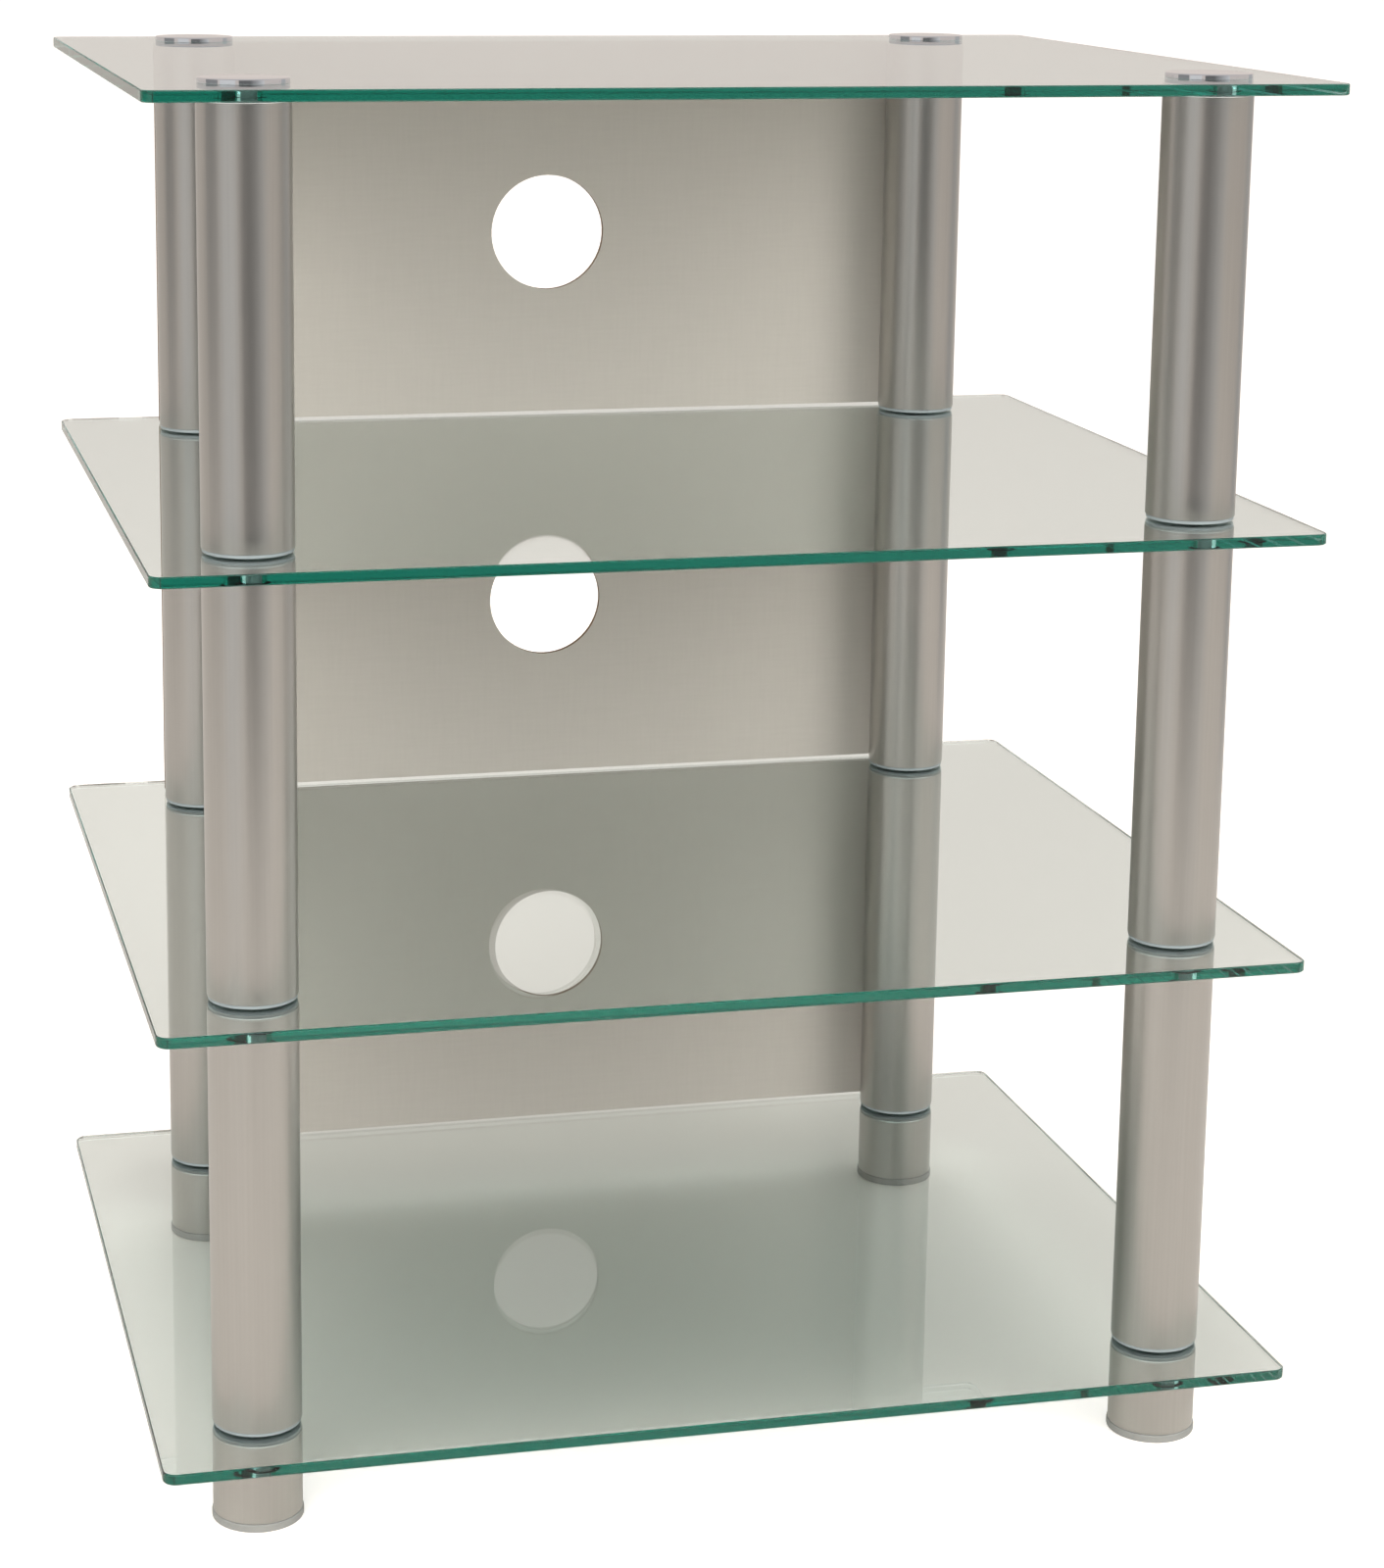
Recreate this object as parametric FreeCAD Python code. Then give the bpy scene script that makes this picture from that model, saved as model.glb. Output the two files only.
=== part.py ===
import FreeCAD, Part
import os

# Glass shelf rack: four clear glass shelves on four round columns, with a board behind each tier.
# Millimetres. X runs to the right, Y to the back, Z up; the origin is on the floor, below the middle.

# Glass shelves
shelf_width = 520.0
shelf_depth = 420.0
glass_thickness = 5.0
shelf_corner_radius = 6.0
glass_arris = 0.5

# Columns: one tube per tier and a short one as a foot
tube_diameter = 40.0
tube_wall = 1.5
tube_length = 187.6
foot_tube_length = 33.5
tube_end_chamfer = 0.25
front_post_side_inset = 47.0
front_post_edge_inset = 47.5
rear_post_side_inset = 67.0
rear_post_edge_inset = 43.0

# Moulded plugs in the tube ends
plug_flange_height = 1.6
plug_flange_setback = 0.4
plug_flange_rounding = 0.4
plug_flange_lip_rounding = 0.2
plug_body_length = 12.0
plug_wall = 2.0
plug_boss_wall = 3.5
plug_rib_thickness = 1.8
plug_rib_count = 6
plug_fit_clearance = 0.05
foot_insert_length = 12.0
foot_insert_web = 3.0

# Threaded studs, the washers at the glass and the discs on the top shelf
stud_diameter = 8.0
stud_engagement = 12.0
stud_end_chamfer = 0.8
thread_clearance = 0.05
washer_thickness = 0.6
washer_rim = 2.15
collar_wall = 1.2
collar_clearance = 0.15
collar_end_gap = 0.5
cap_thickness = 1.7
cap_setback = 0.7
cap_rounding = 0.9

# Screw-in levelling glides under the feet
glide_pad_thickness = 3.8
glide_pad_overhang = 0.5
glide_pad_rounding = 0.8
glide_stem_reach = 14.0
glide_stem_embed = 2.2

# Back boards and their screws
board_thickness = 3.0
board_side_margin = 12.0
board_bottom_gap = 1.2
board_top_gap = 1.2
board_seat_gap = 0.1
board_upper_shift = -6.0
board_lower_shift = -2.5
cable_hole_diameter = 60.0
board_screw_inset = 25.0
screw_diameter = 4.0
screw_hole_clearance = 0.2
screw_pilot_clearance = 0.05
screw_length = 12.0
screw_head_diameter = 7.6
screw_head_height = 2.4
screw_head_rounding = 1.0
screw_cross_width = 0.9
screw_cross_length = 4.2
screw_cross_depth = 1.2

# Spare length of every cutting tool beyond the face that it cuts, and how closely edges are matched
cut_overrun = 2.0
edge_tolerance = 0.001

# Sizes that follow from the ones above
tube_radius = tube_diameter / 2
tube_bore_radius = tube_radius - tube_wall
flange_radius = tube_radius - plug_flange_setback
flange_rounding = min(plug_flange_rounding, plug_flange_height - 2 * plug_flange_lip_rounding)
plug_body_radius = tube_bore_radius - plug_fit_clearance
cap_radius = tube_radius - cap_setback
pad_radius = tube_radius + glide_pad_overhang
stud_radius = stud_diameter / 2
thread_bore_radius = stud_radius + thread_clearance
boss_radius = thread_bore_radius + plug_boss_wall
collar_bore_radius = stud_radius + collar_clearance
collar_radius = collar_bore_radius + collar_wall
washer_radius = collar_radius + washer_rim
glass_hole_radius = collar_radius + collar_clearance
cable_hole_radius = cable_hole_diameter / 2

# Heights, from the floor up
joint_height = plug_flange_height + washer_thickness
foot_bottom = glide_pad_thickness
foot_top = foot_bottom + foot_tube_length
base_shelf_bottom = foot_top + joint_height
tier_clear_height = tube_length + 2 * joint_height
tier_pitch = tier_clear_height + glass_thickness

# Shelves and tiers from the floor up, with the columns' places
SHELVES = ("base_shelf", "lower_shelf", "upper_shelf", "top_shelf")
TIERS = ("lower", "middle", "upper")
POSTS = {
    "front_left": (front_post_side_inset - shelf_width / 2, front_post_edge_inset - shelf_depth / 2),
    "front_right": (shelf_width / 2 - front_post_side_inset, front_post_edge_inset - shelf_depth / 2),
    "rear_left": (rear_post_side_inset - shelf_width / 2, shelf_depth / 2 - rear_post_edge_inset),
    "rear_right": (shelf_width / 2 - rear_post_side_inset, shelf_depth / 2 - rear_post_edge_inset),
}
REAR_POSTS = ("rear_left", "rear_right")
BOARD_SHIFTS = {"lower": board_lower_shift, "middle": board_upper_shift, "upper": board_upper_shift}

UP = FreeCAD.Vector(0, 0, 1)
BACK = FreeCAD.Vector(0, 1, 0)
ALONG = FreeCAD.Vector(1, 0, 0)
ORIGIN = FreeCAD.Vector(0, 0, 0)


def shelf_bottom(index):
    return base_shelf_bottom + index * tier_pitch


def shelf_top(index):
    return shelf_bottom(index) + glass_thickness


def tube_bottom(tier_index):
    return shelf_top(tier_index) + joint_height


def board_screw_heights(tier_index):
    low = shelf_top(tier_index) + board_bottom_gap + board_screw_inset
    high = shelf_bottom(tier_index + 1) - board_top_gap - board_screw_inset
    return low, high


def turned(outline):
    """A solid turned about Z from an outline of (radius, height) points."""
    points = [FreeCAD.Vector(radius, 0, height) for radius, height in outline]
    wire = Part.makePolygon(points + points[:1])
    return Part.Face(wire).revolve(ORIGIN, UP, 360)


def rod(radius, low, high):
    return Part.makeCylinder(radius, high - low, FreeCAD.Vector(0, 0, low))


def chamfered_rod(radius, low, high, low_chamfer, high_chamfer):
    return turned([(0, low), (radius - low_chamfer, low), (radius, low + low_chamfer),
                   (radius, high - high_chamfer), (radius - high_chamfer, high), (0, high)])


def rims(shape, radius, *heights):
    """The circular edges of a shape with this radius, at these heights."""
    def is_rim(edge):
        curve = edge.Curve
        if not isinstance(curve, Part.Circle):
            return False
        near = [abs(curve.Center.z - height) < edge_tolerance for height in heights]
        return abs(curve.Radius - radius) < edge_tolerance and any(near)
    return [edge for edge in shape.Edges if is_rim(edge)]


def moved(shape, x, y, z):
    copy = shape.copy()
    copy.translate(FreeCAD.Vector(x, y, z))
    return copy


def upside_down(shape):
    """The shape turned over about its own Z = 0 plane."""
    copy = shape.copy()
    copy.rotate(ORIGIN, ALONG, 180)
    return copy


def at_posts(shape, height):
    return [moved(shape, x, y, height) for x, y in POSTS.values()]


def shelf():
    """A glass plate with round corners, polished arrises and a hole over each column."""
    plate = Part.makeBox(shelf_width, shelf_depth, glass_thickness,
                         FreeCAD.Vector(-shelf_width / 2, -shelf_depth / 2, 0))
    upright = [edge for edge in plate.Edges if edge.BoundBox.ZLength > glass_thickness / 2]
    plate = plate.makeFillet(shelf_corner_radius, upright)
    level = [edge for edge in plate.Edges if edge.BoundBox.ZLength < edge_tolerance]
    plate = plate.makeChamfer(glass_arris, level)
    for x, y in POSTS.values():
        hole = rod(glass_hole_radius, -cut_overrun, glass_thickness + cut_overrun)
        plate = plate.cut(moved(hole, x, y, 0))
    return plate


def tube(length):
    """A round tube with chamfered outer ends."""
    inner, outer, chamfer = tube_bore_radius, tube_radius, tube_end_chamfer
    return turned([(inner, 0), (outer - chamfer, 0), (outer, chamfer),
                   (outer, length - chamfer), (outer - chamfer, length), (inner, length)])


def tube_at(post, height, length, screw_heights):
    """A tube in its column, with pilot holes at the back for the board's screws."""
    x, y = POSTS[post]
    piece = moved(tube(length), x, y, height)
    for screw_height in screw_heights:
        pilot = Part.makeCylinder(screw_diameter / 2 + screw_pilot_clearance, tube_radius + cut_overrun,
                                  FreeCAD.Vector(x, y, screw_height), BACK)
        piece = piece.cut(pilot)
    return piece


def plug_body(low, high, web):
    """The hollow part of a plug: a web at the bottom, a skirt, a threaded boss and ribs between."""
    skirt = rod(plug_body_radius, low, high)
    skirt = skirt.cut(rod(plug_body_radius - plug_wall, low + web, high + cut_overrun))
    body = skirt.fuse(rod(boss_radius, low, high))
    rib_length = plug_body_radius - plug_wall / 2
    rib = Part.makeBox(rib_length, plug_rib_thickness, high - low,
                       FreeCAD.Vector(0, -plug_rib_thickness / 2, low))
    for index in range(plug_rib_count):
        arm = rib.copy()
        arm.rotate(ORIGIN, UP, 360 * index / plug_rib_count)
        body = body.fuse(arm)
    bore = rod(thread_bore_radius, low - cut_overrun, high + cut_overrun)
    return body.cut(bore).removeSplitter()


def end_plug():
    """A plug for a tube above it: its flange stands on Z = 0, with eased rims; its body reaches up."""
    flange = rod(flange_radius, 0, plug_flange_height)
    flange = flange.makeFillet(flange_rounding, rims(flange, flange_radius, 0))
    flange = flange.makeFillet(plug_flange_lip_rounding, rims(flange, flange_radius, plug_flange_height))
    flange = flange.cut(rod(thread_bore_radius, -cut_overrun, plug_flange_height + cut_overrun))
    body = plug_body(plug_flange_height, plug_flange_height + plug_body_length, 0)
    return flange.fuse(body).removeSplitter()


def foot_insert():
    """The plug in the lower end of a foot: no flange, flush with the tube, threaded for the glide."""
    return plug_body(0, foot_insert_length, foot_insert_web)


def flat_washer():
    return rod(washer_radius, 0, washer_thickness).cut(
        rod(collar_bore_radius, -cut_overrun, washer_thickness + cut_overrun))


def collared_washer():
    """A washer under the glass, whose collar keeps the stud off the hole's wall."""
    reach = washer_thickness + glass_thickness - collar_end_gap
    collar = rod(collar_radius, 0, reach)
    bore = rod(collar_bore_radius, -cut_overrun, reach + cut_overrun)
    return rod(washer_radius, 0, washer_thickness).fuse(collar).cut(bore).removeSplitter()


def stud():
    """A stud through the glass, from the plug below it to the plug above it."""
    grip = washer_thickness + stud_engagement
    return chamfered_rod(stud_radius, -grip, glass_thickness + grip, stud_end_chamfer, stud_end_chamfer)


def cap():
    """A polished disc with a rounded rim on the top shelf, standing on Z = 0, with its own stud."""
    disc = rod(cap_radius, 0, cap_thickness)
    disc = disc.makeFillet(cap_rounding, rims(disc, cap_radius, cap_thickness))
    grip = glass_thickness + 2 * washer_thickness + stud_engagement
    own_stud = chamfered_rod(stud_radius, -grip, cap_thickness / 2, stud_end_chamfer, 0)
    return disc.fuse(own_stud).removeSplitter()


def glide_pad():
    pad = rod(pad_radius, 0, glide_pad_thickness)
    pad = pad.makeFillet(glide_pad_rounding, rims(pad, pad_radius, 0, glide_pad_thickness))
    socket_low = glide_pad_thickness - glide_stem_embed
    return pad.cut(rod(thread_bore_radius, socket_low, glide_pad_thickness + cut_overrun))


def glide_stem():
    low = glide_pad_thickness - glide_stem_embed
    return chamfered_rod(stud_radius, low, glide_pad_thickness + glide_stem_reach, 0, stud_end_chamfer)


def board_front():
    """The plane of the boards' front faces, at the back of the rear tubes."""
    return POSTS["rear_left"][1] + tube_radius + board_seat_gap


def board_at(tier_index):
    """A thin board behind one tier, with a round cable hole in its middle."""
    low = shelf_top(tier_index) + board_bottom_gap
    high = shelf_bottom(tier_index + 1) - board_top_gap
    shift = BOARD_SHIFTS[TIERS[tier_index]]
    half_width = POSTS["rear_right"][0] + board_side_margin
    front = board_front()
    board = Part.makeBox(2 * half_width, board_thickness, high - low,
                         FreeCAD.Vector(shift - half_width, front, low))
    reach = board_thickness + 2 * cut_overrun
    holes = [Part.makeCylinder(cable_hole_radius, reach,
                               FreeCAD.Vector(shift, front - cut_overrun, (low + high) / 2), BACK)]
    for post in REAR_POSTS:
        for height in board_screw_heights(tier_index):
            place = FreeCAD.Vector(POSTS[post][0], front - cut_overrun, height)
            holes.append(Part.makeCylinder(screw_diameter / 2 + screw_hole_clearance, reach, place, BACK))
    return board.cut(Part.makeCompound(holes))


def board_screw():
    """A pan-head screw along Z: its head stands on Z = 0 and its shank points down."""
    head = rod(screw_head_diameter / 2, 0, screw_head_height)
    head = head.makeFillet(screw_head_rounding, rims(head, screw_head_diameter / 2, screw_head_height))
    recess_low = screw_head_height - screw_cross_depth
    for turn in (0, 90):
        slot = Part.makeBox(screw_cross_length, screw_cross_width, screw_cross_depth + cut_overrun,
                            FreeCAD.Vector(-screw_cross_length / 2, -screw_cross_width / 2, recess_low))
        slot.rotate(ORIGIN, UP, turn)
        head = head.cut(slot)
    shank = chamfered_rod(screw_diameter / 2, -screw_length, 0, screw_diameter / 4, 0)
    return head.fuse(shank).removeSplitter()


def board_screws_at(tier_index):
    """The screws of one board, put in from behind into both rear tubes."""
    facing_back = board_screw()
    facing_back.rotate(ORIGIN, ALONG, -90)
    back = board_front() + board_thickness
    return [moved(facing_back, POSTS[post][0], back, height)
            for post in REAR_POSTS for height in board_screw_heights(tier_index)]


def build():
    """Every node of the rack, as lists of solids under their names."""
    nodes = {}
    plug = end_plug()
    hung_plug = upside_down(plug)

    for index, name in enumerate(SHELVES):
        low, high = shelf_bottom(index), shelf_top(index)
        nodes[name] = [moved(shelf(), 0, 0, low)]
        nodes[name + "_washers"] = (at_posts(collared_washer(), low - washer_thickness)
                                    + at_posts(flat_washer(), high))
        if name != "top_shelf":
            nodes[name + "_studs"] = at_posts(stud(), low)

    for index, tier in enumerate(TIERS):
        low = tube_bottom(index)
        for post in POSTS:
            heights = board_screw_heights(index) if post in REAR_POSTS else ()
            nodes[f"{post}_{tier}_tube"] = [tube_at(post, low, tube_length, heights)]
        nodes[f"{tier}_tube_bottom_plugs"] = at_posts(plug, low - plug_flange_height)
        nodes[f"{tier}_tube_top_plugs"] = at_posts(hung_plug, low + tube_length + plug_flange_height)
        nodes[f"{tier}_back_board"] = [board_at(index)]
        nodes[f"{tier}_board_screws"] = board_screws_at(index)

    nodes["foot_tube_top_plugs"] = at_posts(hung_plug, foot_top + plug_flange_height)
    nodes["foot_tube_inserts"] = at_posts(foot_insert(), foot_bottom)
    top = shelf_top(SHELVES.index("top_shelf"))
    for post, (x, y) in POSTS.items():
        nodes[f"{post}_foot_tube"] = [tube_at(post, foot_bottom, foot_tube_length, ())]
        nodes[f"{post}_glide_pad"] = [moved(glide_pad(), x, y, 0)]
        nodes[f"{post}_glide_stem"] = [moved(glide_stem(), x, y, 0)]
        nodes[f"{post}_cap"] = [moved(cap(), x, y, top + washer_thickness)]
    return nodes


os.makedirs("parts", exist_ok=True)
for node_name, solids in build().items():
    shape = solids[0] if len(solids) == 1 else Part.makeCompound(solids)
    shape.exportStep(f"parts/{node_name}.step")
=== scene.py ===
import math

import bpy
from mathutils import Matrix, Vector


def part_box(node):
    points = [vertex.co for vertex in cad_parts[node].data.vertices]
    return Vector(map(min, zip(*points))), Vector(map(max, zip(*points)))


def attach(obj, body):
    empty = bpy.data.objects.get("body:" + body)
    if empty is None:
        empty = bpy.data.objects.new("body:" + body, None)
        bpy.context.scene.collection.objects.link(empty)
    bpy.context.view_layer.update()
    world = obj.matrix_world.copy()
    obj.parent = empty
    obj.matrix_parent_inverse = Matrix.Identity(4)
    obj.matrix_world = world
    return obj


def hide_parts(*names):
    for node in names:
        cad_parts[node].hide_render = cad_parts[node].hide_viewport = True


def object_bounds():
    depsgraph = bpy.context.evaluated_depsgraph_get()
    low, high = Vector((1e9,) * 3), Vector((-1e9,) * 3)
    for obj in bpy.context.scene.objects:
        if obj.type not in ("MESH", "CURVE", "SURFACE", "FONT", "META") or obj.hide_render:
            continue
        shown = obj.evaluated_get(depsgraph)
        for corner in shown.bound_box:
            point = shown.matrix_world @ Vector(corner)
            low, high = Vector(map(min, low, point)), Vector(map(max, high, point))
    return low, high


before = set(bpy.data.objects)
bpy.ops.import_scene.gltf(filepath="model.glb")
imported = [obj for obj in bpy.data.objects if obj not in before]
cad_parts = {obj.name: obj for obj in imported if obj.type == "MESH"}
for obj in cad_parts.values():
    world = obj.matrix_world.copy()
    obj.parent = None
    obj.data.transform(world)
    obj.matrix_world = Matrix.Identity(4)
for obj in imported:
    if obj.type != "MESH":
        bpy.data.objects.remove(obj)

# Glass shelf rack: four clear shelves on four satin columns, with a silver-grey board behind each tier.
# Metres, in the rack's own frame: X to the right, Y to the back, Z up from the floor.

CAD_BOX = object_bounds()
MM = 0.001
POSTS = ("front_left", "front_right", "rear_left", "rear_right")
TIERS = ("lower", "middle", "upper")
SHELVES = ("base_shelf", "lower_shelf", "upper_shelf", "top_shelf")

# Camera, as the photograph was taken: from the front, left of the middle, just above the top shelf
CAMERA_PLACE = (-0.410, -1.617, 0.7275)
CAMERA_HEADING = math.radians(13.5)
CAMERA_DIP = math.radians(11.6)
CAMERA_ROLL = math.radians(0.57)
CAMERA_LENS = 80.8
CAMERA_SHIFT = (0.06, -0.13)

# Threads of the levelling glides: a common coarse thread for 8 mm steel
THREAD_PITCH = 1.25 * MM
THREAD_DEPTH = 0.72 * MM
THREAD_CREST_SHARE = 0.16
THREAD_STEPS = 32
THREAD_SPARE_TURNS = 2
THREAD_SLACK = 0.03 * MM
WELD_DISTANCE = 0.002 * MM

# Polished caps: the rim reaches down to just above the glass, round a recess for the washer
CAP_SIDES = 96
CAP_THICKNESS = 1.7 * MM
CAP_ROUNDING = 0.4 * MM
CAP_ROUNDING_STEPS = 5
CAP_GLASS_GAP = 0.05 * MM
CAP_RECESS_RADIUS = 8.0 * MM
CAP_STUD_RADIUS = 4.0 * MM
CAP_STUD_CHAMFER = 0.8 * MM

# Edges that turn by more than this stay sharp
THREAD_SHARP_ANGLE = math.radians(35)
CAP_SHARP_ANGLE = math.radians(12)

# A face counts as turned along an axis when its normal has more than this along it
FACING = 0.5

# Finishes: patterns in millimetres, along X, Y and Z where there are three, and roughness from least to most
GLASS_ARRIS_TILT = 0.707
GLASS_ARRIS_REACH = 0.12
GLASS_STROKES = (25, 25, 0.6)
GLASS_EDGE_ROUGHNESS = 0.015
GLASS_ARRIS_ROUGHNESS = 0.9
GLASS_INDEX = 1.52
GLASS_BODY = (0.07, 0.74, 0.68, 1.0)
GLASS_BODY_DENSITY = 13.0
TUBE_DRAW_LINES = (1.1, 1.1, 90)
TUBE_LINE_DEPTH = 0.02 * MM
TUBE_LINE_STRENGTH = 0.05
TUBE_GRAIN = 0.7
TUBE_ROUGHNESS = (0.26, 0.36)
CHROME_HAZE = 4
CHROME_ROUGHNESS = (0.04, 0.09)
BOARD_WARP = (1.4, 1.4, 18)
BOARD_WEFT = (18, 1.4, 1.4)
BOARD_EMBOSS_DEPTH = 0.05 * MM
BOARD_EMBOSS_STRENGTH = 0.08
BOARD_FIBRE = 0.9
BOARD_CORE_ROUGHNESS = 0.85
BOARD_FOIL_ROUGHNESS = 0.5
PLASTIC_MOTTLE = 6
PLASTIC_GRAIN = 0.4
PLASTIC_GRAIN_DEPTH = 0.05 * MM
PLASTIC_GRAIN_STRENGTH = 0.1
PLASTIC_ROUGHNESS_SPREAD = 0.05
ZINC_CLOUD = 2.5
ZINC_ROUGHNESS = (0.28, 0.42)

# Studio: a pale warm floor and backdrop, an even sky, two soft lamps, and glowing flags seen only in gloss,
# which paint dark and light reflections into the metal
FLOOR_REACH = 60.0
FLOOR_COLOUR = "#F0E8E0"
FLOOR_WHITENING = 0.45
BACKDROP_COLOUR = "#DED4CE"
BACKDROP_TOP = 0.55
CEILING_COLOUR = "#BEC0C4"
CEILING_START = 0.80
SKY_LIGHT = 0.79
OVERHEAD_LIGHT = 2.4
LAMP_SIZE = 2.8
LAMP_SPREAD = math.radians(60)

# Each lamp's place and its power in watts
LAMPS = {
    "key_lamp": ((-2.4, -3.9, 2.0), 27.0),
    "fill_lamp": ((2.7, -3.5, 1.8), 16.5),
}

# Each flag's degrees to the right of the front, distance, width, and the glow of its painted reflection at
# its left and right
FLAGS = {
    "front_flag": (6, 1.5, 1.7, 0.17, 0.75),
    "left_front_flag": (-48, 1.5, 0.9, 0.80, 0.80),
    "left_flag": (-90, 3.2, 2.1, 0.30, 0.30),
    "right_flag": (105, 1.5, 0.6, 0.52, 0.52),
}

# How much a flag rises above the caps for each metre of distance
FLAG_RISE = 0.105

# Where across a flag, from -0.5 at its left to 0.5 at its right, its tone fades
FLAG_FADE_START = -0.1
FLAG_FADE_END = 0.5

# Light runs a long way inside the glass before it leaves at an edge
LIGHT_TURNS = 64

# The colour sockets of a Mix node go by number, because their names repeat
COLOUR_A = 6
COLOUR_B = 7
COLOUR_OUT = 2


def linear(colour):
    """An sRGB colour such as "#B0A99F" as the linear RGBA that shader sockets take."""
    channels = [int(colour[place:place + 2], 16) / 255 for place in (1, 3, 5)]
    curve = [c / 12.92 if c <= 0.04045 else ((c + 0.055) / 1.055) ** 2.4 for c in channels]
    return (*curve, 1.0)


def grey(level):
    """A neutral linear colour."""
    return (level, level, level, 1.0)


def per_mm(size):
    """The texture scale at which a pattern repeats about every so many millimetres."""
    return 1 / (size * MM)


def add(tree, kind, inputs=None, **settings):
    """Adds one node: settings are its own options, inputs its sockets, as values or as outputs to link."""
    made = tree.nodes.new("ShaderNode" + kind)
    for name, value in settings.items():
        setattr(made, name, value)
    for name, value in (inputs or {}).items():
        if isinstance(value, bpy.types.NodeSocket):
            tree.links.new(value, made.inputs[name])
        else:
            made.inputs[name].default_value = value
    return made


def new_material(name):
    """An empty node material with its tree and its output."""
    material = bpy.data.materials.new(name)
    material.use_nodes = True
    tree = material.node_tree
    tree.nodes.clear()
    return material, tree, add(tree, "OutputMaterial")


def float_glass():
    """Clear float glass with ground and polished edges: bright and colourless across its thickness, deep
    green along its length, with a fine matt line where the arris was ground."""
    material, tree, output = new_material("float_glass_polished_edge")
    place = add(tree, "TexCoord")
    normal = add(tree, "SeparateXYZ", {"Vector": place.outputs["Normal"]})
    tilt = add(tree, "Math", {0: normal.outputs["Z"]}, operation="ABSOLUTE")
    arris = add(tree, "Math", {0: tilt.outputs[0], 1: GLASS_ARRIS_TILT, 2: GLASS_ARRIS_REACH},
                operation="COMPARE")
    edge = add(tree, "Math", {0: tilt.outputs[0], 1: FACING}, operation="LESS_THAN")
    stroke = add(tree, "Mapping", {"Vector": place.outputs["Object"],
                                   "Scale": [per_mm(size) for size in GLASS_STROKES]})
    lines = add(tree, "TexNoise", {"Vector": stroke.outputs[0], "Scale": 1.0, "Detail": 2.0})
    polish = add(tree, "Math", {0: edge.outputs[0], 1: GLASS_EDGE_ROUGHNESS}, operation="MULTIPLY")
    ground = add(tree, "Math", {0: arris.outputs[0], 1: GLASS_ARRIS_ROUGHNESS, 2: polish.outputs[0]},
                 operation="MULTIPLY_ADD")
    rough = add(tree, "Math", {0: lines.outputs["Fac"], 1: ground.outputs[0]}, operation="MULTIPLY")
    shader = add(tree, "BsdfPrincipled", {"Base Color": linear("#FDFFFE"), "Roughness": rough.outputs[0],
                                          "IOR": GLASS_INDEX, "Transmission Weight": 1.0})
    body = add(tree, "VolumeAbsorption", {"Color": GLASS_BODY, "Density": GLASS_BODY_DENSITY})
    tree.links.new(shader.outputs[0], output.inputs["Surface"])
    tree.links.new(body.outputs[0], output.inputs["Volume"])
    return material


def anodised_aluminium():
    """Drawn aluminium tube, etched and clear anodised: a soft satin sheen in upright bands, with faint draw
    lines along the tube and a fine even grain."""
    material, tree, output = new_material("aluminium_satin_anodised")
    place = add(tree, "TexCoord")
    along = add(tree, "Mapping", {"Vector": place.outputs["Object"],
                                  "Scale": [per_mm(size) for size in TUBE_DRAW_LINES]})
    lines = add(tree, "TexNoise", {"Vector": along.outputs[0], "Scale": 1.0, "Detail": 3.0})
    grain = add(tree, "TexNoise", {"Vector": place.outputs["Object"], "Scale": per_mm(TUBE_GRAIN),
                                   "Detail": 2.0})
    tone = add(tree, "Mix", {"Factor": lines.outputs["Fac"], COLOUR_A: linear("#B1AFAB"),
                             COLOUR_B: linear("#B9B7B3")}, data_type="RGBA")
    rough = add(tree, "MapRange", {"Value": grain.outputs["Fac"], "To Min": TUBE_ROUGHNESS[0],
                                   "To Max": TUBE_ROUGHNESS[1]})
    bump = add(tree, "Bump", {"Strength": TUBE_LINE_STRENGTH, "Distance": TUBE_LINE_DEPTH,
                              "Height": lines.outputs["Fac"]})
    shader = add(tree, "BsdfPrincipled", {"Base Color": tone.outputs[COLOUR_OUT], "Metallic": 1.0,
                                          "Roughness": rough.outputs[0], "Normal": bump.outputs[0]})
    tree.links.new(shader.outputs[0], output.inputs["Surface"])
    return material


def chromed_steel():
    """Turned steel disc, polished and chrome plated: a near mirror with a trace of haze."""
    material, tree, output = new_material("steel_polished_chrome_plate")
    place = add(tree, "TexCoord")
    haze = add(tree, "TexNoise", {"Vector": place.outputs["Object"], "Scale": per_mm(CHROME_HAZE),
                                  "Detail": 3.0})
    tone = add(tree, "Mix", {"Factor": haze.outputs["Fac"], COLOUR_A: linear("#D0D2D6"),
                             COLOUR_B: linear("#DADCE0")}, data_type="RGBA")
    rough = add(tree, "MapRange", {"Value": haze.outputs["Fac"], "To Min": CHROME_ROUGHNESS[0],
                                   "To Max": CHROME_ROUGHNESS[1]})
    shader = add(tree, "BsdfPrincipled", {"Base Color": tone.outputs[COLOUR_OUT], "Metallic": 1.0,
                                          "Roughness": rough.outputs[0]})
    tree.links.new(shader.outputs[0], output.inputs["Surface"])
    return material


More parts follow.
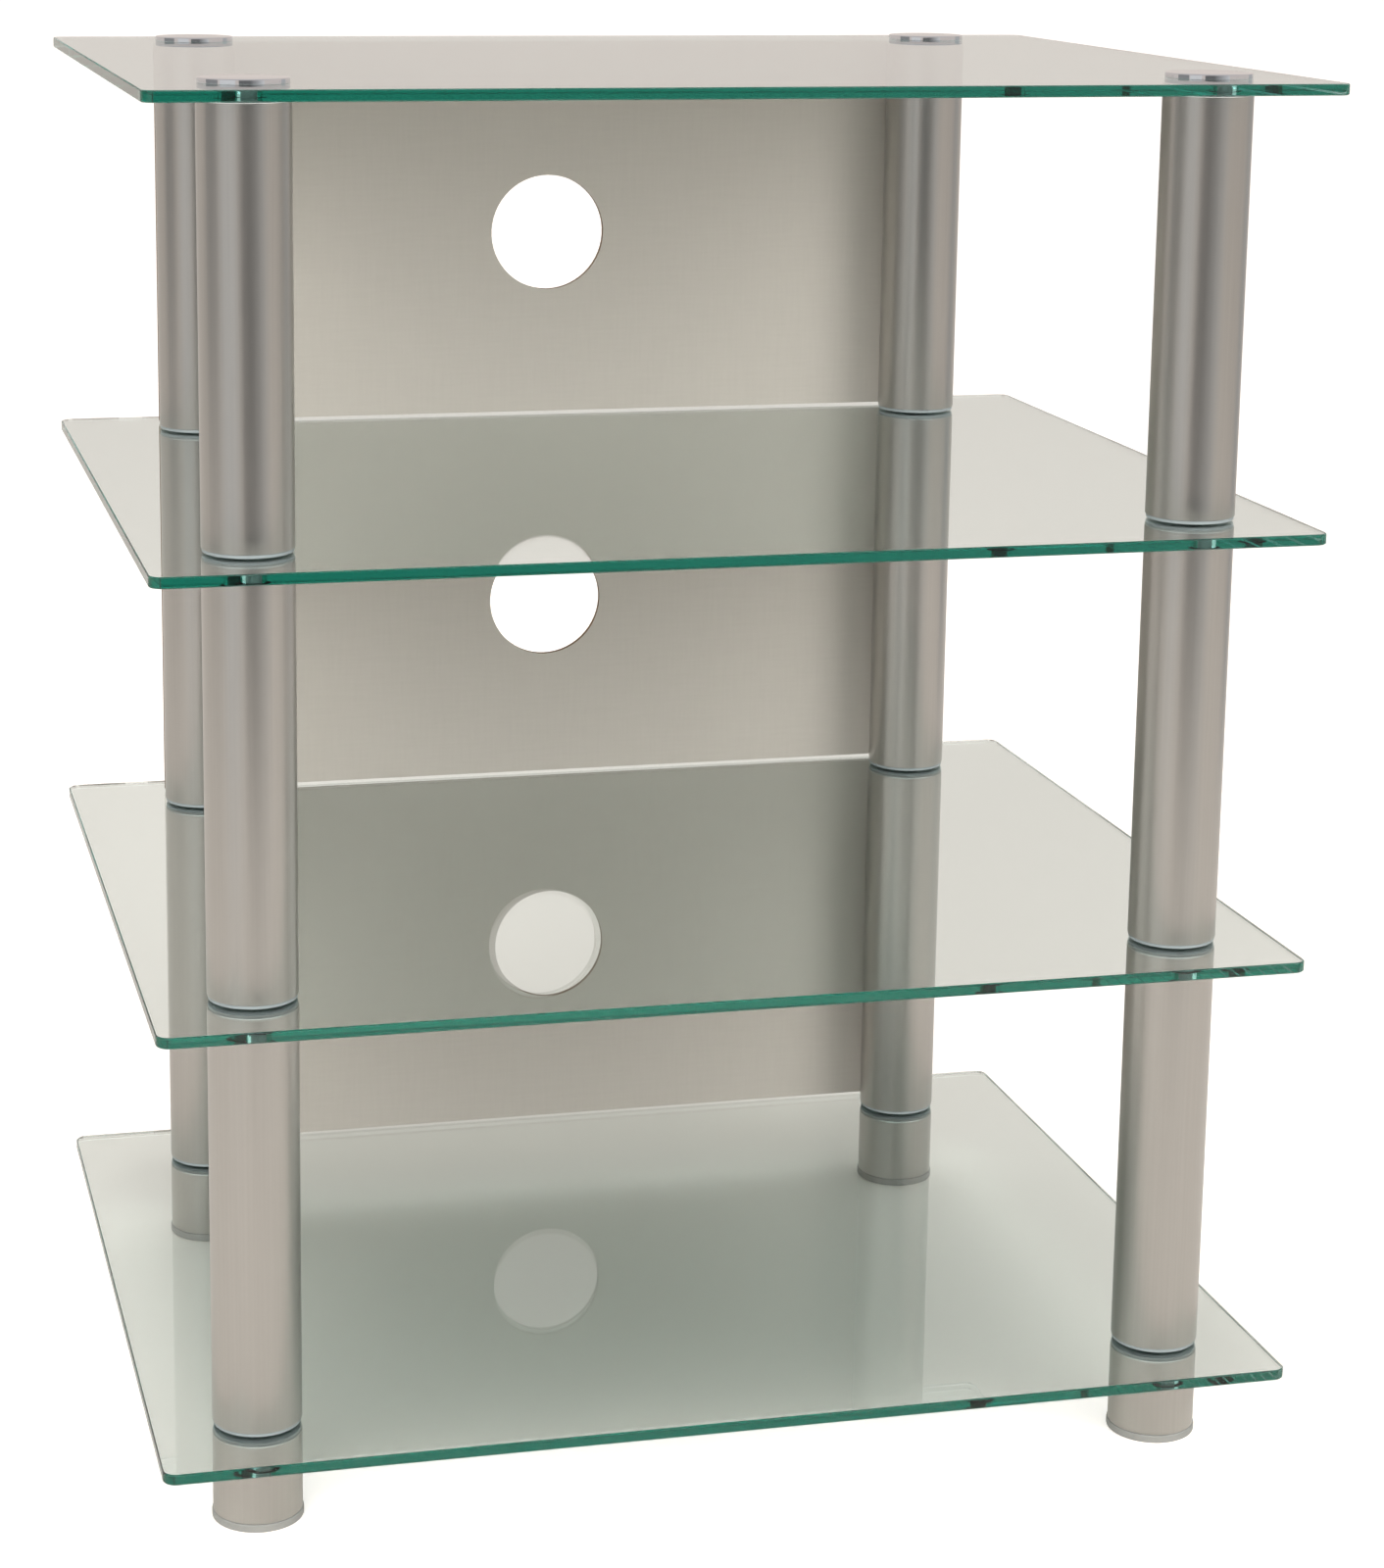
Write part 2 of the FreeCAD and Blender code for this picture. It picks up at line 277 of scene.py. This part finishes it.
def faced_fibreboard():
    """Thin fibreboard faced with silver-grey foil: an even matt face with a faint linen emboss, and a raw
    brown core wherever it was cut. The threads are drawn at 1.4 mm, coarser than real, so that they show."""
    material, tree, output = new_material("fibreboard_silver_foil_faced")
    place = add(tree, "TexCoord")
    normal = add(tree, "SeparateXYZ", {"Vector": place.outputs["Normal"]})
    facing = add(tree, "Math", {0: normal.outputs["Y"]}, operation="ABSOLUTE")
    face = add(tree, "Math", {0: facing.outputs[0], 1: FACING}, operation="GREATER_THAN")
    warp = add(tree, "Mapping", {"Vector": place.outputs["Object"],
                                 "Scale": [per_mm(size) for size in BOARD_WARP]})
    weft = add(tree, "Mapping", {"Vector": place.outputs["Object"],
                                 "Scale": [per_mm(size) for size in BOARD_WEFT]})
    upright = add(tree, "TexNoise", {"Vector": warp.outputs[0], "Scale": 1.0, "Detail": 2.0})
    level = add(tree, "TexNoise", {"Vector": weft.outputs[0], "Scale": 1.0, "Detail": 2.0})
    linen = add(tree, "Mix", {"Factor": 0.5, "A": upright.outputs["Fac"], "B": level.outputs["Fac"]})
    foil = add(tree, "Mix", {"Factor": linen.outputs[0], COLOUR_A: linear("#B1AAA0"),
                             COLOUR_B: linear("#BBB4AA")}, data_type="RGBA")
    fibre = add(tree, "TexNoise", {"Vector": place.outputs["Object"], "Scale": per_mm(BOARD_FIBRE),
                                   "Detail": 4.0})
    core = add(tree, "Mix", {"Factor": fibre.outputs["Fac"], COLOUR_A: linear("#3F2C1C"),
                             COLOUR_B: linear("#8C6B4A")}, data_type="RGBA")
    tone = add(tree, "Mix", {"Factor": face.outputs[0], COLOUR_A: core.outputs[COLOUR_OUT],
                             COLOUR_B: foil.outputs[COLOUR_OUT]}, data_type="RGBA")
    rough = add(tree, "MapRange", {"Value": face.outputs[0], "To Min": BOARD_CORE_ROUGHNESS,
                                   "To Max": BOARD_FOIL_ROUGHNESS})
    bump = add(tree, "Bump", {"Strength": BOARD_EMBOSS_STRENGTH, "Distance": BOARD_EMBOSS_DEPTH,
                              "Height": linen.outputs[0]})
    shader = add(tree, "BsdfPrincipled", {"Base Color": tone.outputs[COLOUR_OUT],
                                          "Roughness": rough.outputs[0], "Normal": bump.outputs[0]})
    tree.links.new(shader.outputs[0], output.inputs["Surface"])
    return material


def moulded_plastic(name, dark, light, roughness):
    """Injection-moulded plastic with the mould's fine eroded grain: an even, soft, slightly mottled grey."""
    material, tree, output = new_material(name)
    place = add(tree, "TexCoord")
    mottle = add(tree, "TexNoise", {"Vector": place.outputs["Object"], "Scale": per_mm(PLASTIC_MOTTLE),
                                    "Detail": 4.0})
    grain = add(tree, "TexNoise", {"Vector": place.outputs["Object"], "Scale": per_mm(PLASTIC_GRAIN),
                                   "Detail": 1.0})
    tone = add(tree, "Mix", {"Factor": mottle.outputs["Fac"], COLOUR_A: linear(dark),
                             COLOUR_B: linear(light)}, data_type="RGBA")
    rough = add(tree, "MapRange", {"Value": grain.outputs["Fac"],
                                   "To Min": roughness - PLASTIC_ROUGHNESS_SPREAD,
                                   "To Max": roughness + PLASTIC_ROUGHNESS_SPREAD})
    bump = add(tree, "Bump", {"Strength": PLASTIC_GRAIN_STRENGTH, "Distance": PLASTIC_GRAIN_DEPTH,
                              "Height": grain.outputs["Fac"]})
    shader = add(tree, "BsdfPrincipled", {"Base Color": tone.outputs[COLOUR_OUT],
                                          "Roughness": rough.outputs[0], "Normal": bump.outputs[0]})
    tree.links.new(shader.outputs[0], output.inputs["Surface"])
    return material


def zinc_plated_steel():
    """Cold-headed steel, bright zinc plated: cool grey with a cloudy, slightly patchy shine."""
    material, tree, output = new_material("steel_zinc_plated")
    place = add(tree, "TexCoord")
    cloud = add(tree, "TexNoise", {"Vector": place.outputs["Object"], "Scale": per_mm(ZINC_CLOUD),
                                   "Detail": 4.0})
    tone = add(tree, "Mix", {"Factor": cloud.outputs["Fac"], COLOUR_A: linear("#989B9C"),
                             COLOUR_B: linear("#CDD0D0")}, data_type="RGBA")
    rough = add(tree, "MapRange", {"Value": cloud.outputs["Fac"], "To Min": ZINC_ROUGHNESS[0],
                                   "To Max": ZINC_ROUGHNESS[1]})
    shader = add(tree, "BsdfPrincipled", {"Base Color": tone.outputs[COLOUR_OUT], "Metallic": 1.0,
                                          "Roughness": rough.outputs[0]})
    tree.links.new(shader.outputs[0], output.inputs["Surface"])
    return material


def dress(material, names):
    """Gives CAD nodes their finish in their own material slots."""
    for name in names:
        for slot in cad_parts[name].material_slots:
            slot.material = material


def at_each_post(*endings):
    """The names of the nodes that each of the four posts has."""
    return [f"{post}_{ending}" for post in POSTS for ending in endings]


def at_each_tier(*endings):
    """The names of the nodes that each of the three tiers has."""
    return [f"{tier}_{ending}" for tier in TIERS for ending in endings]


def pick_verts(mesh, wanted):
    """Selects, from edit mode, just the vertices whose place passes the test."""
    bpy.ops.mesh.select_all(action="DESELECT")
    bpy.ops.object.mode_set(mode="OBJECT")
    for vert in mesh.vertices:
        vert.select = wanted(vert.co)
    bpy.ops.object.mode_set(mode="EDIT")


def trim(height, **side):
    """Cuts the piece level at a height, closes the cut and drops the side that is named."""
    bpy.ops.mesh.select_all(action="SELECT")
    bpy.ops.mesh.bisect(plane_co=(0, 0, height), plane_no=(0, 0, 1), use_fill=True,
                        threshold=WELD_DISTANCE, **side)


def threaded_stem(low, high, radius):
    """A rolled thread on the Z axis: one turn's profile, wound up the stem and cut level at both ends."""
    bpy.ops.object.select_all(action="DESELECT")
    bpy.ops.mesh.primitive_plane_add(size=1.0, rotation=(math.pi / 2, 0, 0))
    stem = bpy.context.object
    bpy.ops.object.transform_apply(location=True, rotation=True, scale=True)
    bpy.ops.object.mode_set(mode="EDIT")
    bpy.ops.mesh.select_mode(type="VERT")
    bpy.ops.mesh.select_all(action="SELECT")
    bpy.ops.mesh.delete(type="ONLY_FACE")
    bpy.ops.mesh.select_all(action="SELECT")
    flank = radius - THREAD_DEPTH / 2
    start = low - THREAD_PITCH
    bpy.ops.transform.resize(value=(THREAD_DEPTH, 1, THREAD_PITCH), center_override=(0, 0, 0))
    bpy.ops.transform.translate(value=(flank, 0, start))
    pick_verts(stem.data, lambda place: place.x > flank)
    bpy.ops.transform.resize(value=(1, 1, THREAD_CREST_SHARE), center_override=(0, 0, start))
    pick_verts(stem.data, lambda place: place.x < flank)
    bpy.ops.mesh.select_mode(type="EDGE")
    bpy.ops.mesh.delete(type="EDGE")
    bpy.ops.mesh.select_mode(type="VERT")
    bpy.ops.object.mode_set(mode="OBJECT")
    wind = stem.modifiers.new("wind", "SCREW")
    wind.axis = "Z"
    wind.screw_offset = THREAD_PITCH
    wind.iterations = math.ceil((high - low) / THREAD_PITCH) + THREAD_SPARE_TURNS
    wind.steps = THREAD_STEPS
    wind.render_steps = THREAD_STEPS
    wind.use_merge_vertices = False
    bpy.ops.object.modifier_apply(modifier=wind.name)
    bpy.ops.object.mode_set(mode="EDIT")
    bpy.ops.mesh.select_all(action="SELECT")
    bpy.ops.mesh.remove_doubles(threshold=WELD_DISTANCE)
    trim(low, clear_inner=True)
    trim(high, clear_outer=True)
    bpy.ops.mesh.select_all(action="SELECT")
    bpy.ops.mesh.normals_make_consistent(inside=False)
    bpy.ops.object.mode_set(mode="OBJECT")
    bpy.ops.object.shade_smooth_by_angle(angle=THREAD_SHARP_ANGLE)
    return stem


def polished_cap(low, high, radius, glass_top):
    """A cap on the Z axis: a disc with a rounded rim, a recess for the washer below it, and its own stud."""
    bpy.ops.object.select_all(action="DESELECT")
    rim_low = glass_top + CAP_GLASS_GAP
    seat = high - CAP_THICKNESS
    bpy.ops.mesh.primitive_cylinder_add(vertices=CAP_SIDES, radius=radius, depth=high - rim_low,
                                        location=(0, 0, (high + rim_low) / 2))
    cap = bpy.context.object
    bpy.ops.object.transform_apply(location=True, rotation=True, scale=True)
    bpy.ops.object.mode_set(mode="EDIT")
    bpy.ops.mesh.select_mode(type="VERT")
    pick_verts(cap.data, lambda place: place.z > high - WELD_DISTANCE)
    bpy.ops.mesh.bevel(offset=CAP_ROUNDING, segments=CAP_ROUNDING_STEPS, affect="EDGES")
    pick_verts(cap.data, lambda place: place.z < rim_low + WELD_DISTANCE)
    bpy.ops.mesh.select_mode(type="FACE")
    bpy.ops.mesh.inset(thickness=radius - CAP_RECESS_RADIUS)
    bpy.ops.mesh.extrude_region_move(TRANSFORM_OT_translate={"value": (0, 0, seat - rim_low)})
    bpy.ops.mesh.inset(thickness=CAP_RECESS_RADIUS - CAP_STUD_RADIUS)
    bpy.ops.mesh.extrude_region_move(TRANSFORM_OT_translate={"value": (0, 0, low - seat)})
    bpy.ops.mesh.bevel(offset=CAP_STUD_CHAMFER, segments=1, affect="EDGES")
    bpy.ops.mesh.select_mode(type="VERT")
    bpy.ops.mesh.select_all(action="SELECT")
    bpy.ops.mesh.normals_make_consistent(inside=False)
    bpy.ops.object.mode_set(mode="OBJECT")
    bpy.ops.object.shade_smooth_by_angle(angle=CAP_SHARP_ANGLE)
    return cap


def place_copies(first, material, piece_name, node_name, body_name):
    """Puts a copy of a piece, modelled on the Z axis, in the place of its CAD node at each post."""
    first.data.materials.append(material)
    for post in POSTS:
        bpy.ops.object.select_all(action="DESELECT")
        piece = first.copy()
        piece.data = first.data.copy()
        piece.name = f"{post}_{piece_name}"
        bpy.context.scene.collection.objects.link(piece)
        bpy.context.view_layer.objects.active = piece
        piece.select_set(True)
        low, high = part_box(f"{post}_{node_name}")
        piece.location = ((low.x + high.x) / 2, (low.y + high.y) / 2, 0)
        bpy.ops.object.transform_apply(location=True, rotation=False, scale=False)
        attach(piece, body_name.format(post=post))
        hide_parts(f"{post}_{node_name}")
    bpy.data.objects.remove(first)


def glide_stems(material):
    """The threaded stem of each glide, which shows between pad and foot when the glide is screwed out."""
    low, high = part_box(POSTS[0] + "_glide_stem")
    first = threaded_stem(low.z, high.z, (high.x - low.x) / 2 - THREAD_SLACK)
    place_copies(first, material, "threaded_stem", "glide_stem", "{post}_glide")


def polished_caps(material):
    """The cap over each column: a bright disc with a rim that mirrors its surroundings in dark and light."""
    low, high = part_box(POSTS[0] + "_cap")
    first = polished_cap(low.z, high.z, (high.x - low.x) / 2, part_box("top_shelf")[1].z)
    place_copies(first, material, "polished_cap", "cap", "rack")


dress(float_glass(), SHELVES)
dress(anodised_aluminium(), at_each_post("upper_tube", "middle_tube", "lower_tube", "foot_tube"))
chrome = chromed_steel()
dress(chrome, at_each_post("cap"))
polished_caps(chrome)
dress(faced_fibreboard(), at_each_tier("back_board"))
dress(moulded_plastic("abs_moulded_silver_grey", "#8C9495", "#9AA1A2", roughness=0.35),
      at_each_tier("tube_bottom_plugs", "tube_top_plugs") + ["foot_tube_top_plugs", "foot_tube_inserts"])
dress(moulded_plastic("polythene_moulded_washer", "#B9BCB9", "#C6C9C6", roughness=0.5),
      [shelf + "_washers" for shelf in SHELVES])
dress(moulded_plastic("abs_moulded_glide_grey", "#82827E", "#8F8F8A", roughness=0.55),
      at_each_post("glide_pad"))
zinc = zinc_plated_steel()
dress(zinc, at_each_tier("board_screws") + at_each_post("glide_stem")
      + [shelf + "_studs" for shelf in SHELVES if shelf != "top_shelf"])
glide_stems(zinc)


def studio_floor():
    """A wide pale floor, which the camera sees as white with the rack's soft shadow on it."""
    bpy.ops.object.select_all(action="DESELECT")
    bpy.ops.mesh.primitive_plane_add(size=FLOOR_REACH)
    floor = bpy.context.object
    floor.name = "studio_floor"
    material, tree, output = new_material("painted_studio_floor")
    path = add(tree, "LightPath")
    matt = add(tree, "BsdfDiffuse", {"Color": linear(FLOOR_COLOUR)})
    lift = add(tree, "Math", {0: path.outputs["Is Camera Ray"], 1: FLOOR_WHITENING}, operation="MULTIPLY")
    white = add(tree, "Emission", {"Strength": lift.outputs[0]})
    both = add(tree, "AddShader", {0: matt.outputs[0], 1: white.outputs[0]})
    tree.links.new(both.outputs[0], output.inputs["Surface"])
    floor.data.materials.append(material)


def studio_sky():
    """An even sky: white to the camera and plain light on the rack. Polish mirrors a warm pale backdrop
    under a dim ceiling; glass shows the same backdrop and lets soft overhead light through to the floor.
    A ray that has passed through glass counts as glossy too, so the choice for glass comes after it."""
    world = bpy.data.worlds.new("studio_sky")
    bpy.context.scene.world = world
    world.use_nodes = True
    tree = world.node_tree
    tree.nodes.clear()
    path = add(tree, "LightPath")
    place = add(tree, "TexCoord")
    height = add(tree, "SeparateXYZ", {"Vector": place.outputs["Generated"]})
    above = add(tree, "MapRange", {"Value": height.outputs["Z"], "From Min": BACKDROP_TOP,
                                   "From Max": CEILING_START}, interpolation_type="SMOOTHSTEP")
    mirrored = add(tree, "Mix", {"Factor": above.outputs[0], COLOUR_A: linear(BACKDROP_COLOUR),
                                 COLOUR_B: linear(CEILING_COLOUR)}, data_type="RGBA")
    through = add(tree, "Mix", {"Factor": above.outputs[0], COLOUR_A: linear(BACKDROP_COLOUR),
                                COLOUR_B: grey(OVERHEAD_LIGHT)}, data_type="RGBA")
    plain = add(tree, "Mix", {"Factor": path.outputs["Is Glossy Ray"], COLOUR_A: grey(SKY_LIGHT),
                              COLOUR_B: mirrored.outputs[COLOUR_OUT]}, data_type="RGBA")
    around = add(tree, "Mix", {"Factor": path.outputs["Is Transmission Ray"],
                               COLOUR_A: plain.outputs[COLOUR_OUT],
                               COLOUR_B: through.outputs[COLOUR_OUT]}, data_type="RGBA")
    sky = add(tree, "Mix", {"Factor": path.outputs["Is Camera Ray"], COLOUR_A: around.outputs[COLOUR_OUT],
                            COLOUR_B: grey(1.0)}, data_type="RGBA")
    glow = add(tree, "Background", {"Color": sky.outputs[COLOUR_OUT], "Strength": 1.0})
    add(tree, "OutputWorld", {"Surface": glow.outputs[0]})


def soft_lamp(name, place, power):
    """A square soft lamp, aimed at the middle of the rack. A grid narrows its light, so that the floor below
    it stays as pale as the rest, and neither metal nor glass mirrors it."""
    lamp = bpy.data.lights.new(name, "AREA")
    lamp.size = LAMP_SIZE
    lamp.spread = LAMP_SPREAD
    lamp.energy = power
    holder = bpy.data.objects.new(name, lamp)
    bpy.context.scene.collection.objects.link(holder)
    middle = (CAD_BOX[0] + CAD_BOX[1]) / 2
    holder.location = place
    holder.rotation_euler = (middle - Vector(place)).to_track_quat("-Z", "Y").to_euler()
    holder.visible_camera = False
    holder.visible_glossy = False
    holder.visible_transmission = False


def glowing_flag(name, degrees, distance, width, left_tone, right_tone):
    """A flag that stands on the floor, so many degrees right of the front, and rises a little above the caps.
    It glows with its own tone and is seen only in gloss, so it lights nothing and paints a dark or light
    reflection into the metal and glass. It keeps one tone over its left part and then fades to another at its
    right end."""
    bpy.ops.object.select_all(action="DESELECT")
    bpy.ops.mesh.primitive_plane_add(size=1.0)
    flag = bpy.context.object
    flag.name = name
    turn = math.radians(degrees)
    height = CAD_BOX[1].z + distance * FLAG_RISE
    flag.scale = (width, height, 1.0)
    flag.rotation_euler = (math.pi / 2, 0, turn)
    flag.location = (distance * math.sin(turn), -distance * math.cos(turn), height / 2)
    material, tree, output = new_material(name + "_cloth")
    place = add(tree, "TexCoord")
    across = add(tree, "SeparateXYZ", {"Vector": place.outputs["Object"]})
    share = add(tree, "MapRange", {"Value": across.outputs["X"], "From Min": FLAG_FADE_START,
                                   "From Max": FLAG_FADE_END})
    tone = add(tree, "Mix", {"Factor": share.outputs[0], COLOUR_A: grey(left_tone),
                             COLOUR_B: grey(right_tone)}, data_type="RGBA")
    # Painted reflection: the flag glows with this tone whatever the lamps do, and only glossy rays see it
    painted_reflection = add(tree, "Emission", {"Color": tone.outputs[COLOUR_OUT]})
    tree.links.new(painted_reflection.outputs[0], output.inputs["Surface"])
    flag.data.materials.append(material)
    flag.visible_camera = False
    flag.visible_diffuse = False
    flag.visible_transmission = False
    flag.visible_shadow = False


studio_floor()
studio_sky()
for lamp_name, lamp_values in LAMPS.items():
    soft_lamp(lamp_name, *lamp_values)
for flag_name, flag_values in FLAGS.items():
    glowing_flag(flag_name, *flag_values)

camera = bpy.data.objects.new("camera", bpy.data.cameras.new("camera"))
bpy.context.scene.collection.objects.link(camera)
camera.matrix_world = (Matrix.Translation(CAMERA_PLACE) @ Matrix.Rotation(-CAMERA_HEADING, 4, "Z")
                       @ Matrix.Rotation(math.pi / 2 - CAMERA_DIP, 4, "X")
                       @ Matrix.Rotation(CAMERA_ROLL, 4, "Z"))
camera.data.lens = CAMERA_LENS
camera.data.shift_x, camera.data.shift_y = CAMERA_SHIFT
bpy.context.scene.camera = camera
bpy.context.scene.view_settings.view_transform = "Standard"
bpy.context.scene.cycles.max_bounces = LIGHT_TURNS
bpy.context.scene.cycles.glossy_bounces = LIGHT_TURNS
bpy.context.scene.cycles.transmission_bounces = LIGHT_TURNS
